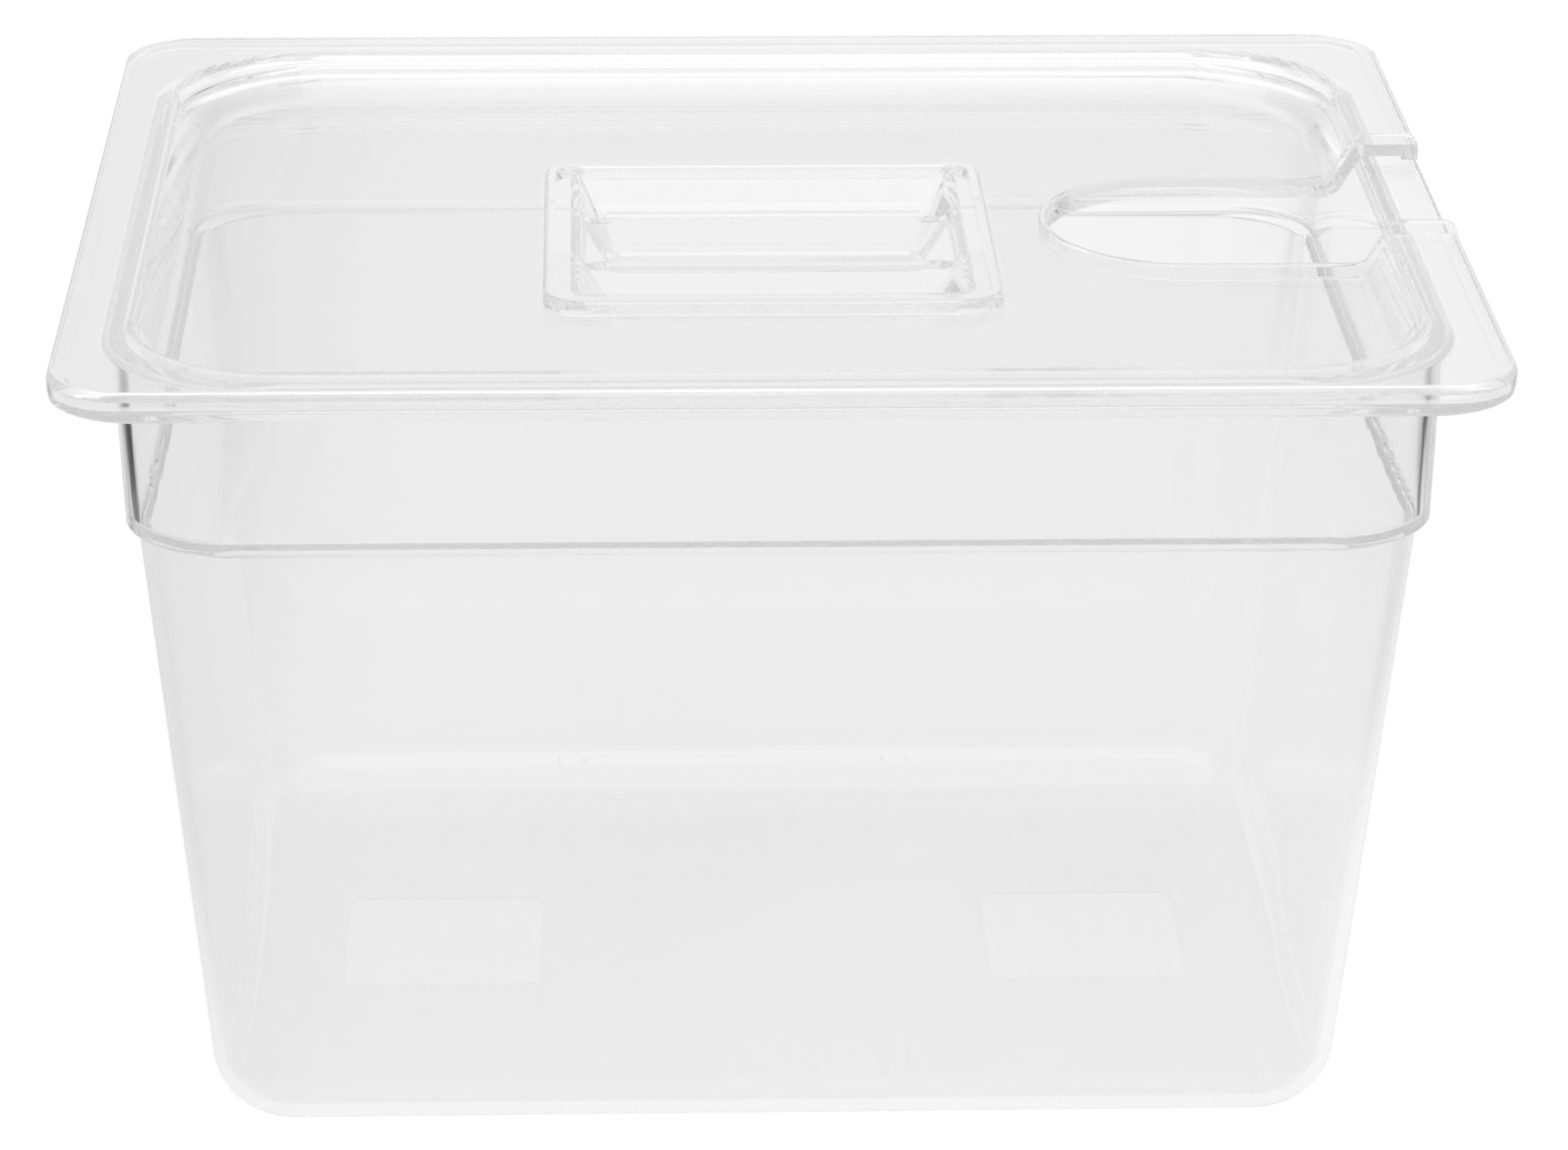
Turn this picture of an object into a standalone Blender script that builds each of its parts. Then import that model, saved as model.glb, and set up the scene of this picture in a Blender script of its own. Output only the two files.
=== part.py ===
"""Clear food pan and its lid, which is notched for an immersion circulator. Both are polycarbonate mouldings.

Metres, +Z up. The origin is under the middle of the pan's base. +X runs along the long side towards the
notch, and -Y is the front.
"""

import math
from collections import namedtuple

import bmesh
import bpy
from mathutils import Vector

# Outline that the pan's flange and the lid share
LENGTH = 0.325
WIDTH = 0.265

# Pan: the section of its wall, from the flange down to the base
PAN_HEIGHT = 0.196
PAN_WALL = 0.003
FLANGE_THICK = 0.003
FLANGE_REACH = 0.0114
BAND_HEIGHT = 0.0342
BAND_TAPER = 0.003
SHOULDER_DROP = 0.003
SHOULDER_STEP = 0.0022
BODY_TAPER = 0.0133

# Pan: corner radii in plan
FLANGE_CORNER = 0.018
BAND_CORNER = 0.040
SHOULDER_CORNER = 0.022
FOOT_CORNER = 0.024
BASE_CORNER = 0.019

# Pan: fillets in section
FLANGE_TOP_FILLET = 0.0013
FLANGE_UNDER_FILLET = 0.0008
NECK_FILLET = 0.0025
MOUTH_FILLET = 0.0015
SHOULDER_FILLET = 0.0015
FOOT_FILLET = 0.001
BASE_FILLET = 0.0175

# Pan: the two bare pads sunk in the underside of the base
PAD_LENGTH = 0.050
PAD_WIDTH = 0.049
PAD_CORNER = 0.004
PAD_DEPTH = 0.00035
PAD_SPACING = 0.162

# Lid: its sheet, its flange with the lip below it, and the step down to the panel
LID_SHEET = 0.0027
LID_CORNER = 0.016
LID_EDGE_FILLET = 0.0012
LIP_WIDTH = 0.004
LIP_DEPTH = 0.001
STEP_DROP = 0.0108
STEP_RUN = 0.0064
STEP_TOP_FILLET = 0.0005
STEP_FOOT_FILLET = 0.0057

# Lid: how it sits on the pan
SEAT_GAP = 0.0003
PLUG_GAP = 0.0006

# Handle: a raised rim around two finger wells with a bar between them
HANDLE_LENGTH = 0.108
HANDLE_WIDTH = 0.105
HANDLE_CORNER = 0.008
HANDLE_RISE = 0.003
HANDLE_FILLET = 0.0015
RIM_END_WIDTH = 0.008
RIM_SIDE_WIDTH = 0.0065
BAR_WIDTH = 0.033
BAR_DRAFT = 0.0005
WELL_DEPTH = 0.0108
WELL_FLOOR_WIDTH = 0.0085
WELL_END_RUN = 0.008
WELL_CORNER = 0.002
WELL_FILLET = 0.0015

# Notch for the circulator, and the rib along its edge
NOTCH_WIDTH = 0.064
NOTCH_REACH = 0.0947
NOTCH_Y = 0.005
RIB_THICK = 0.002
RIB_RISE = 0.003
RIB_END_FILLET = 0.0035

# Facets
CORNER_STEPS = 10
FILLET_STEPS = 4
FILLET_FACET = 0.0035
NOTCH_STEPS = 32
BEVEL_STEPS = 3
SHARP_ANGLE = math.radians(35)

# Geometry that serves the modelling and isn't a size of the object
LEAST_FILLET = 0.0005
CUT_MARGIN = 0.005
FLAT_CORNER = 0.001
WHOLE_EDGE = 0.98
HALF_EDGE = 0.49

# Appearance
CLEAR_COLOUR = (0.93, 0.94, 0.94, 1.0)
CLEAR_ROUGHNESS = 0.05
CLEAR_IOR = 1.585
CLEAR_TRANSMISSION = 1.0

# A corner of a section. Inset runs in from the outline, and core is the inset of the plan corner's centre,
# so the plan radius is core - inset.
Corner = namedtuple("Corner", "inset z core fillet", defaults=[0.0])
Bounds = namedtuple("Bounds", "left right front back")


def mixed(first, second, share):
    """Section point between two others, with its core between theirs."""
    return Corner(*(a + (b - a) * share for a, b in zip(first[:3], second[:3])))


def edge_of(first, second):
    return Vector((second.inset - first.inset, second.z - first.z))


def flat_end(corner):
    """Point on the level of a corner, as far in as its plan corner allows, where a flat face starts."""
    return Corner(corner.core - FLAT_CORNER, corner.z, corner.core)


def offset(line, distance):
    """The same line moved to its right by distance, with mitred corners and concentric fillets."""
    edges = [edge_of(a, b).normalized() for a, b in zip(line, line[1:])]
    moved = []
    for corner, before, after in zip(line, [edges[0]] + edges, edges + [edges[-1]]):
        normals = Vector((before.y, -before.x)), Vector((after.y, -after.x))
        shift = (normals[0] + normals[1]) * distance / (1 + normals[0].dot(normals[1]))
        turn = math.copysign(distance, before.cross(after))
        fillet = max(corner.fillet + turn, LEAST_FILLET) if corner.fillet else 0.0
        moved.append(Corner(corner.inset + shift.x, corner.z + shift.y, corner.core, fillet))
    return moved


def at_height(first, second, height):
    """Where the line through two section points crosses a height."""
    return mixed(first, second, (height - first.z) / (second.z - first.z))


def filleted(line):
    """Section points of a line with each of its fillets turned into an arc."""
    points = [line[0]]
    for before, corner, after in zip(line, line[1:], line[2:]):
        if not corner.fillet:
            points.append(corner)
            continue
        back, ahead = edge_of(corner, before), edge_of(corner, after)
        half_angle = back.angle(ahead) / 2
        room = min(
            back.length * (HALF_EDGE if before.fillet else WHOLE_EDGE),
            ahead.length * (HALF_EDGE if after.fillet else WHOLE_EDGE),
        )
        reach = min(corner.fillet / math.tan(half_angle), room)
        radius = reach * math.tan(half_angle)
        start = mixed(corner, before, reach / back.length)
        end = mixed(corner, after, reach / ahead.length)
        middle = (back.normalized() + ahead.normalized()).normalized() * radius / math.sin(half_angle)
        spokes = edge_of(corner, start) - middle, edge_of(corner, end) - middle
        steps = max(FILLET_STEPS, math.ceil(radius * (math.pi - 2 * half_angle) / FILLET_FACET))
        for step in range(steps + 1):
            share = step / steps
            spoke = spokes[0].slerp(spokes[1], share).normalized() * radius
            core = mixed(start, end, share).core
            points.append(Corner(corner.inset + middle.x + spoke.x, corner.z + middle.y + spoke.y, core))
    points.append(line[-1])
    return points


def ring(bounds, radius, z):
    """Rounded rectangle at a height, anticlockwise as seen from above."""
    centres = (
        (bounds.right - radius, bounds.back - radius),
        (bounds.left + radius, bounds.back - radius),
        (bounds.left + radius, bounds.front + radius),
        (bounds.right - radius, bounds.front + radius),
    )
    points = []
    for quarter, (x, y) in enumerate(centres):
        for step in range(CORNER_STEPS + 1):
            angle = (quarter + step / CORNER_STEPS) * math.pi / 2
            points.append((x + radius * math.cos(angle), y + radius * math.sin(angle), z))
    return points


def around(length, width, line):
    """Rings of a section line swept round a rounded rectangle."""
    rings = []
    for point in filleted(line):
        half_x = length / 2 - point.inset
        half_y = width / 2 - point.inset
        rings.append(ring(Bounds(-half_x, half_x, -half_y, half_y), point.core - point.inset, point.z))
    return rings


def add_object(name, bm):
    mesh = bpy.data.meshes.new(name)
    bm.to_mesh(mesh)
    bm.free()
    obj = bpy.data.objects.new(name, mesh)
    bpy.context.scene.collection.objects.link(obj)
    return obj


def loft(name, rings):
    """Closed body through rings of equal count, the first and the last capped flat."""
    bm = bmesh.new()
    loops = [[bm.verts.new(point) for point in points] for points in rings]
    for lower, upper in zip(loops, loops[1:]):
        for i in range(len(lower)):
            bm.faces.new((lower[i - 1], lower[i], upper[i], upper[i - 1]))
    bm.faces.new(reversed(loops[0]))
    bm.faces.new(loops[-1])
    return add_object(name, bm)


def combine(body, operation, tool):
    """Joins a tool to a body, cuts the body with it or keeps what both hold, by a Boolean that stays live."""
    tool.parent = body
    tool.hide_render = True
    tool.display_type = "WIRE"
    modifier = body.modifiers.new(tool.name, "BOOLEAN")
    modifier.operation = operation
    modifier.solver = "EXACT"
    modifier.object = tool


def finish(body, name):
    """Gives a body its clear plastic and smooth shading."""
    material = bpy.data.materials.new(name)
    material.use_nodes = True
    shader = material.node_tree.nodes["Principled BSDF"].inputs
    shader["Base Color"].default_value = CLEAR_COLOUR
    shader["Roughness"].default_value = CLEAR_ROUGHNESS
    shader["Metallic"].default_value = 0.0
    shader["IOR"].default_value = CLEAR_IOR
    shader["Transmission Weight"].default_value = CLEAR_TRANSMISSION
    body.data.materials.append(material)
    body.data.shade_smooth()
    body.data.set_sharp_from_angle(angle=SHARP_ANGLE)


def wall_line():
    """Outer line of the pan's wall, from the flat of the base up to the underside of the flange."""
    neck_z = PAN_HEIGHT - FLANGE_THICK
    shoulder_inset = FLANGE_REACH + BAND_TAPER
    shoulder_z = neck_z - BAND_HEIGHT
    foot_inset = shoulder_inset + SHOULDER_STEP
    base_inset = foot_inset + BODY_TAPER
    base = Corner(base_inset, 0.0, base_inset + BASE_CORNER, BASE_FILLET)
    foot = Corner(foot_inset, shoulder_z - SHOULDER_DROP, foot_inset + FOOT_CORNER, FOOT_FILLET)
    shoulder = Corner(shoulder_inset, shoulder_z, shoulder_inset + SHOULDER_CORNER, SHOULDER_FILLET)
    neck = Corner(FLANGE_REACH, neck_z, FLANGE_REACH + BAND_CORNER, NECK_FILLET)
    return [flat_end(base), base, foot, shoulder, neck]


def inner_line():
    """Inner line of the pan's wall, from the mouth down to the flat of the floor."""
    inner = offset(wall_line(), PAN_WALL)
    mouth = at_height(inner[-2], inner[-1], PAN_HEIGHT)._replace(fillet=MOUTH_FILLET)
    return [mouth] + inner[-2::-1]


def make_pan():
    flange = [
        Corner(0.0, PAN_HEIGHT - FLANGE_THICK, FLANGE_CORNER, FLANGE_UNDER_FILLET),
        Corner(0.0, PAN_HEIGHT, FLANGE_CORNER, FLANGE_TOP_FILLET),
    ]
    pan = loft("pan", around(LENGTH, WIDTH, wall_line() + flange + inner_line()))
    for side, name in ((-1, "left_pad"), (1, "right_pad")):
        pad_x = side * PAD_SPACING / 2
        pad = Bounds(
            pad_x - PAD_LENGTH / 2,
            pad_x + PAD_LENGTH / 2,
            -PAD_WIDTH / 2,
            PAD_WIDTH / 2,
        )
        cutter = loft(name, [ring(pad, PAD_CORNER, z) for z in (-CUT_MARGIN, PAD_DEPTH)])
        combine(pan, "DIFFERENCE", cutter)
    finish(pan, "pan")
    return pan


def lid_line(rise, edge_fillet):
    """Section of the lid round its whole edge, with its top raised by rise. Height 0 is the lip's foot."""
    mouth = inner_line()[0]
    under_z = LIP_DEPTH
    step_top_inset = mouth.inset + PLUG_GAP - (SEAT_GAP + under_z) * STEP_RUN / STEP_DROP
    panel = Corner(step_top_inset + STEP_RUN, under_z - STEP_DROP, mouth.core, STEP_FOOT_FILLET)
    step_top = Corner(step_top_inset, under_z, mouth.core, STEP_TOP_FILLET)
    lip_root = Corner(LIP_WIDTH, under_z, LID_CORNER)
    under = [flat_end(panel), panel, step_top, lip_root]
    edge = [
        Corner(LIP_WIDTH, 0.0, LID_CORNER),
        Corner(0.0, 0.0, LID_CORNER),
        Corner(0.0, under_z + LID_SHEET + rise, LID_CORNER, edge_fillet),
    ]
    top = [corner._replace(z=corner.z + rise) for corner in offset(under, LID_SHEET)[-2::-1]]
    return under + edge + top


def panel_top():
    return LIP_DEPTH - STEP_DROP + LID_SHEET


def well_bounds(side, z, grow):
    """Extent of a finger well at a height, with each of its walls moved out by grow."""
    drop = panel_top() + HANDLE_RISE - z
    depth = HANDLE_RISE + WELL_DEPTH
    opening = HANDLE_WIDTH / 2 - RIM_SIDE_WIDTH
    floor = BAR_WIDTH / 2 + BAR_DRAFT + WELL_FLOOR_WIDTH
    end_slope = WELL_END_RUN / depth
    bar_slope = BAR_DRAFT / WELL_DEPTH
    side_slope = (opening - floor) / depth
    half_x = HANDLE_LENGTH / 2 - RIM_END_WIDTH - end_slope * drop + grow * math.hypot(1, end_slope)
    near = BAR_WIDTH / 2 + bar_slope * (drop - HANDLE_RISE) - grow * math.hypot(1, bar_slope)
    far = opening - side_slope * drop + grow * math.hypot(1, side_slope)
    return Bounds(-half_x, half_x, *sorted((side * near, side * far)))


def bar_bounds(z, grow):
    """Extent of the sunk space over the bar, which runs on into both wells."""
    reach = BAR_WIDTH / 2 + LID_SHEET
    return well_bounds(1, z, grow)._replace(front=-reach, back=reach)


def well_body(name, bounds_at, floor_z, top_z, grow):
    """Tapered body of a well, either its hollow or, grown by the sheet, its shell."""
    radius = WELL_CORNER + grow
    body = loft(name, [ring(bounds_at(z, grow), radius, z) for z in (floor_z - grow, top_z)])
    bevel = body.modifiers.new("floor_edge", "BEVEL")
    bevel.width = WELL_FILLET + grow
    bevel.segments = BEVEL_STEPS
    bevel.angle_limit = SHARP_ANGLE
    return body


def add_handle(lid):
    """Raised rim, hollow from below, around two finger wells and the bar between them."""
    rim_z = panel_top() + HANDLE_RISE
    hollow_z = rim_z - LID_SHEET
    root_z = panel_top() - LID_SHEET / 2
    outer = [
        Corner(0.0, root_z, HANDLE_CORNER),
        Corner(0.0, rim_z, HANDLE_CORNER, HANDLE_FILLET),
        Corner(HANDLE_CORNER - FLAT_CORNER, rim_z, HANDLE_CORNER),
    ]
    combine(lid, "UNION", loft("handle_rim", around(HANDLE_LENGTH, HANDLE_WIDTH, outer)))
    hollow = [
        Corner(LID_SHEET, panel_top() - LID_SHEET - CUT_MARGIN, HANDLE_CORNER),
        Corner(LID_SHEET, hollow_z, HANDLE_CORNER),
    ]
    combine(lid, "DIFFERENCE", loft("handle_hollow", around(HANDLE_LENGTH, HANDLE_WIDTH, hollow)))
    floor_z = panel_top() - WELL_DEPTH
    pockets = (
        ("front_well", lambda z, grow: well_bounds(-1, z, grow), floor_z),
        ("back_well", lambda z, grow: well_bounds(1, z, grow), floor_z),
        ("bar_space", bar_bounds, panel_top()),
    )
    for name, bounds_at, bottom_z in pockets:
        shell = well_body(name + "_shell", bounds_at, bottom_z, rim_z - LID_SHEET / 2, LID_SHEET)
        combine(lid, "UNION", shell)
    for name, bounds_at, bottom_z in pockets:
        combine(lid, "DIFFERENCE", well_body(name, bounds_at, bottom_z, rim_z + CUT_MARGIN, 0.0))


def notch_body(name, grow):
    """U-shaped prism of the notch, open past the lid's edge, with its outline moved out by grow."""
    radius = NOTCH_WIDTH / 2
    centre_x = LENGTH / 2 - NOTCH_REACH + radius
    open_x = LENGTH / 2 + CUT_MARGIN
    outline = [(open_x, NOTCH_Y - radius - grow), (open_x, NOTCH_Y + radius + grow)]
    for step in range(NOTCH_STEPS + 1):
        angle = math.pi * (0.5 + step / NOTCH_STEPS)
        outline.append(
            (centre_x + (radius + grow) * math.cos(angle), NOTCH_Y + (radius + grow) * math.sin(angle))
        )
    low = panel_top() - LID_SHEET - CUT_MARGIN
    high = LIP_DEPTH + LID_SHEET + RIB_RISE + CUT_MARGIN
    return loft(name, [[(x, y, z) for x, y in outline] for z in (low, high)])


def add_notch(lid):
    """Cuts the notch and leaves a rib along it: the lid's own section, raised and as thick as the rib."""
    rib = loft("notch_rib", around(LENGTH, WIDTH, lid_line(RIB_RISE, RIB_END_FILLET)))
    combine(lid, "UNION", rib)
    combine(rib, "INTERSECT", notch_body("rib_outline", RIB_THICK))
    combine(lid, "DIFFERENCE", notch_body("notch", 0.0))


def make_lid(pan):
    """Lid at rest on the pan's flange, with its origin on the line that it lifts along."""
    lid = loft("lid", around(LENGTH, WIDTH, lid_line(0.0, LID_EDGE_FILLET)))
    lid.parent = pan
    lid.location.z = PAN_HEIGHT + SEAT_GAP
    add_handle(lid)
    add_notch(lid)
    finish(lid, "lid")


def main():
    for obj in list(bpy.data.objects):
        bpy.data.objects.remove(obj)
    make_lid(make_pan())


if __name__ == "__main__":
    main()
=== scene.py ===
import math
from collections import namedtuple

import bmesh
import bpy
from bpy.props import FloatProperty, FloatVectorProperty, PointerProperty
from mathutils import Matrix, Vector


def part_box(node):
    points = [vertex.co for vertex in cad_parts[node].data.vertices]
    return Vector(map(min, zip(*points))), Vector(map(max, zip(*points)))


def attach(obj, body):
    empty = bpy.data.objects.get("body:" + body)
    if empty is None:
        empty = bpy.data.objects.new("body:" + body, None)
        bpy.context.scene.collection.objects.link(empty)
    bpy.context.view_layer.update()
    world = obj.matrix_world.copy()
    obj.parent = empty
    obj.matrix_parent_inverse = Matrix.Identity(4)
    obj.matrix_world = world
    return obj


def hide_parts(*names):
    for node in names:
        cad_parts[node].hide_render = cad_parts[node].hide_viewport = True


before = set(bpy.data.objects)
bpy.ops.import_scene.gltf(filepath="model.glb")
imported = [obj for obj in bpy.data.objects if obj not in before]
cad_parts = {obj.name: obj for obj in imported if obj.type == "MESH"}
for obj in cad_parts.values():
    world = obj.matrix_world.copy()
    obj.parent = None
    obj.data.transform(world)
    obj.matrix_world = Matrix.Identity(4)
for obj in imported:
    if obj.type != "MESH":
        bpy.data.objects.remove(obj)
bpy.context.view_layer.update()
PAN_LOW, PAN_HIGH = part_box("pan")

bl_info = {
    "name": "Sous vide container",
    "version": (1, 0, 0),
    "blender": (4, 5, 0),
    "location": "3D View > Sidebar > Container",
    "description": "Clear food pan, its notched lid and the pale studio that they stand in",
    "category": "Add Mesh",
}

# Pan: the section of its wall
FLANGE_THICK = 0.003
FLANGE_REACH = 0.0114
BAND_HEIGHT = 0.0367
BAND_TAPER = 0.003
SHOULDER_DROP = 0.0013
SHOULDER_STEP = 0.0022
BODY_TAPER = 0.0133

# Pan: corner radii in plan
FLANGE_CORNER = 0.018
BAND_CORNER = 0.040
SHOULDER_CORNER = 0.022
FOOT_CORNER = 0.024
BASE_CORNER = 0.019

# Pan: fillets in section
FLANGE_TOP_FILLET = 0.0009
FLANGE_UNDER_FILLET = 0.0012
NECK_FILLET = 0.0025
MOUTH_FILLET = 0.0015
SHOULDER_FILLET = 0.0015
FOOT_FILLET = 0.001
INNER_SHOULDER_FILLET = 0.003
INNER_FOOT_FILLET = 0.004

# Pan: pads in the underside of the base
PAD_CORNER = 0.004
PAD_SPACING = 0.162

# Lid: its flange with the lip below it, and the step down to the panel
LID_CORNER = 0.016
LID_EDGE_FILLET = 0.0012
LIP_WIDTH = 0.004
LIP_DEPTH = 0.001
STEP_RUN = 0.0064
STEP_TOP_FILLET = 0.0008
STEP_FOOT_FILLET = 0.0057
SEAT_GAP = 0.0003
PLUG_GAP = 0.0006

# Handle
HANDLE_CORNER = 0.008
HANDLE_FILLET = 0.0015
RIM_END_WIDTH = 0.008
RIM_SIDE_WIDTH = 0.0065
RIM_INNER_ROUND = 0.0011
BAR_DRAFT = 0.0005
WELL_FLOOR_WIDTH = 0.0085
WELL_END_RUN = 0.008
WELL_CORNER = 0.002
WELL_FILLET = 0.0015

# Notch and its rib
NOTCH_Y = 0.005
RIB_END_FILLET = 0.0035
RIB_ROUND = 0.0006
RIB_PROUD = 0.0001

# Plastic: painted light, a tint painted lighter above some heights, where it is seen edge on or in
# one layer:
# those heights, how soft such a zone's edge is, its painted colour there, and the front well's
# share of it
LID_PAINTED_LIGHT_FROM = (0.190, 0.1945)
PAN_PAINTED_LIGHT_FROM = (0.189, 0.193)
ZONE_SOFT = 0.002
PAINTED_LIGHT_TINT = 0.995
FRONT_WELL_PAINTED_LIGHT = 0.4

# Plastic: ripples from the mould, clouds in the tint, and wiping marks
RIPPLE_SCALE = 14.0
RIPPLE_STRENGTH = 0.01
RIPPLE_DEPTH = 0.0004
CLOUD_SCALE = 6.0
CLOUD_SPREAD = 0.01
MARK_TURN = (0.2, 0.1, 0.6)
MARK_STRETCH = (30.0, 900.0, 200.0)
MARK_DETAIL = 3.0
MARK_RANGE = (0.62, 0.74)
MARK_ROUGHNESS = 0.02

# Plastic: matt pads with a tint painted lighter, and how softly both end at their edges and above
# them
PAD_ROUGHNESS = 0.06
PAD_EDGE = 0.0006
PAD_TOP = (0.001, 0.0015)

# How finely the pieces are made: steps of a curve, a fillet's longest facet, and sharp angles
CORNER_STEPS = 28
FILLET_STEPS = 6
FILLET_FACET = 0.0009
NOTCH_STEPS = 72
ROUND_STEPS = 5
SMOOTH_ANGLE = math.radians(32)
BEVEL_ANGLE = math.radians(40)
FLAT_WEIGHT = 50

# Making: the least fillet that an offset keeps, the corner radius at which a flat ends, the share
# of an edge that its only fillet or each of two may take, how far a cutter stands out of what it
# cuts, an inset past every corner's centre, and how near to each other points are welded
LEAST_FILLET = 0.0005
FLAT_CORNER = 0.001
WHOLE_EDGE = 0.98
HALF_EDGE = 0.49
CUT_MARGIN = 0.005
POLE = 9.0
WELD = 0.00001

# A corner of a section: how far it lies in from the outline, its height, how far in the centre of
# its corner in plan lies, and the radius that rounds it in the section
Corner = namedtuple("Corner", "inset z core fillet", defaults=[0.0])

# The extent of a rectangle in plan
Bounds = namedtuple("Bounds", "left right front back")


def metres(name, default, description):
    """A length that the sidebar shows in the scene's own unit."""
    return FloatProperty(
        name=name, description=description, default=default, min=0.0, unit="LENGTH", precision=4
    )


class PanSizes(bpy.types.PropertyGroup):
    length: metres("Length", PAN_HIGH.x - PAN_LOW.x, "Long side of the flange")
    width: metres("Width", PAN_HIGH.y - PAN_LOW.y, "Short side of the flange")
    height: metres("Height", PAN_HIGH.z, "From the base to the top of the flange")
    wall: metres("Wall", 0.003, "Thickness of the walls and the floor")
    base_fillet: metres("Base fillet", 0.0175, "Outer radius between the walls and the base")
    pad_length: metres("Pad length", 0.050, "Long side of a pad under the base")
    pad_width: metres("Pad width", 0.049, "Short side of a pad under the base")
    pad_depth: metres("Pad depth", 0.0001, "How far a pad is sunk in the base")


class LidSizes(bpy.types.PropertyGroup):
    sheet: metres("Sheet", 0.0027, "Thickness of the lid")
    step_drop: metres("Step", 0.0108, "How far the panel lies below the flange")
    handle_length: metres("Handle length", 0.108, "Long side of the handle's rim")
    handle_width: metres("Handle width", 0.105, "Short side of the handle's rim")
    handle_rise: metres("Handle rise", 0.003, "How far the rim stands above the panel")
    bar_width: metres("Bar width", 0.033, "Width of the bar that the fingers close on")
    well_depth: metres("Well depth", 0.0108, "How far a finger well goes down below the panel")
    notch_width: metres("Notch width", 0.064, "Width of the notch between its ribs")
    notch_reach: metres("Notch reach", 0.0947, "How far the notch goes in from the lid's edge")
    rib_thick: metres("Rib thickness", 0.002, "Thickness of the rib round the notch")
    rib_rise: metres("Rib rise", 0.003, "How far the rib stands above the lid")


class PlasticLook(bpy.types.PropertyGroup):
    tint: FloatVectorProperty(
        name="Tint", description="Colour that the clear plastic gives to what shows through it",
        subtype="COLOR", size=3, min=0.0, max=1.0, default=(0.93, 0.93, 0.93),
    )
    roughness: FloatProperty(
        name="Roughness", description="Roughness of the polished mould's surface",
        subtype="FACTOR", min=0.0, max=1.0, default=0.0,
    )
    density: FloatProperty(
        name="Density", description="How strongly the plastic takes in light, for each metre",
        min=0.0, default=4.0,
    )
    # The glow here is painted: the plastic glows faintly, so light guided far inside it ends at
    # this brightness
    haze_glow: FloatProperty(
        name="Haze", description="Brightness that light guided far inside the plastic ends at",
        subtype="FACTOR", min=0.0, max=1.0, default=0.62,
    )
    ior: FloatProperty(
        name="IOR", description="Refractive index of polycarbonate", min=1.0, max=2.0, default=1.585
    )


class StudioLook(bpy.types.PropertyGroup):
    backdrop: FloatVectorProperty(
        name="Backdrop", description="Colour of the floor and of what lies behind it",
        subtype="COLOR", size=3, min=0.0, max=1.0, default=(1.0, 1.0, 1.0),
    )
    key: FloatProperty(
        name="Key", description="Power of the broad soft lamp",
        subtype="POWER", default=3.0, min=0.0,
    )
    surround: FloatProperty(
        name="Surround", description="Strength of the soft light all round", default=0.8, min=0.0
    )


def look(name):
    return getattr(bpy.context.scene, name)


def mixed(first, second, share):
    """Section point between two others, with its plan corner's centre between theirs."""
    return Corner(*(a + (b - a) * share for a, b in zip(first[:3], second[:3])))


def edge_of(first, second):
    return Vector((second.inset - first.inset, second.z - first.z))


def offset(line, distance):
    """The same line moved to its right by distance, with mitred corners and concentric fillets."""
    edges = [edge_of(a, b).normalized() for a, b in zip(line, line[1:])]
    moved = []
    for corner, before, after in zip(line, [edges[0]] + edges, edges + [edges[-1]]):
        normals = Vector((before.y, -before.x)), Vector((after.y, -after.x))
        shift = (normals[0] + normals[1]) * distance / (1 + normals[0].dot(normals[1]))
        turn = math.copysign(distance, before.cross(after))
        fillet = max(corner.fillet + turn, LEAST_FILLET) if corner.fillet else 0.0
        moved.append(Corner(corner.inset + shift.x, corner.z + shift.y, corner.core, fillet))
    return moved


def at_height(first, second, height):
    return mixed(first, second, (height - first.z) / (second.z - first.z))


def filleted(line):
    """Section points of a line with each of its fillets turned into an arc."""
    points = [line[0]]
    for before, corner, after in zip(line, line[1:], line[2:]):
        if not corner.fillet:
            points.append(corner)
            continue
        back, ahead = edge_of(corner, before), edge_of(corner, after)
        half_angle = back.angle(ahead) / 2
        room = min(
            back.length * (HALF_EDGE if before.fillet else WHOLE_EDGE),
            ahead.length * (HALF_EDGE if after.fillet else WHOLE_EDGE),
        )
        reach = min(corner.fillet / math.tan(half_angle), room)
        radius = reach * math.tan(half_angle)
        start = mixed(corner, before, reach / back.length)
        end = mixed(corner, after, reach / ahead.length)
        bisector = (back.normalized() + ahead.normalized()).normalized()
        middle = bisector * radius / math.sin(half_angle)
        spokes = edge_of(corner, start) - middle, edge_of(corner, end) - middle
        steps = max(FILLET_STEPS, math.ceil(radius * (math.pi - 2 * half_angle) / FILLET_FACET))
        for step in range(steps + 1):
            share = step / steps
            spoke = spokes[0].slerp(spokes[1], share).normalized() * radius
            inset, z = corner.inset + middle.x + spoke.x, corner.z + middle.y + spoke.y
            points.append(Corner(inset, z, mixed(start, end, share).core))
    points.append(line[-1])
    return points


def flat_end(corner):
    """Point on the level of a corner, as far in as its plan corner allows."""
    return Corner(corner.core - FLAT_CORNER, corner.z, corner.core)


def closed(points):
    """The points with a pole before the first and after the last, on the same levels."""
    return [Corner(POLE, points[0].z, POLE)] + points + [Corner(POLE, points[-1].z, POLE)]


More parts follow.
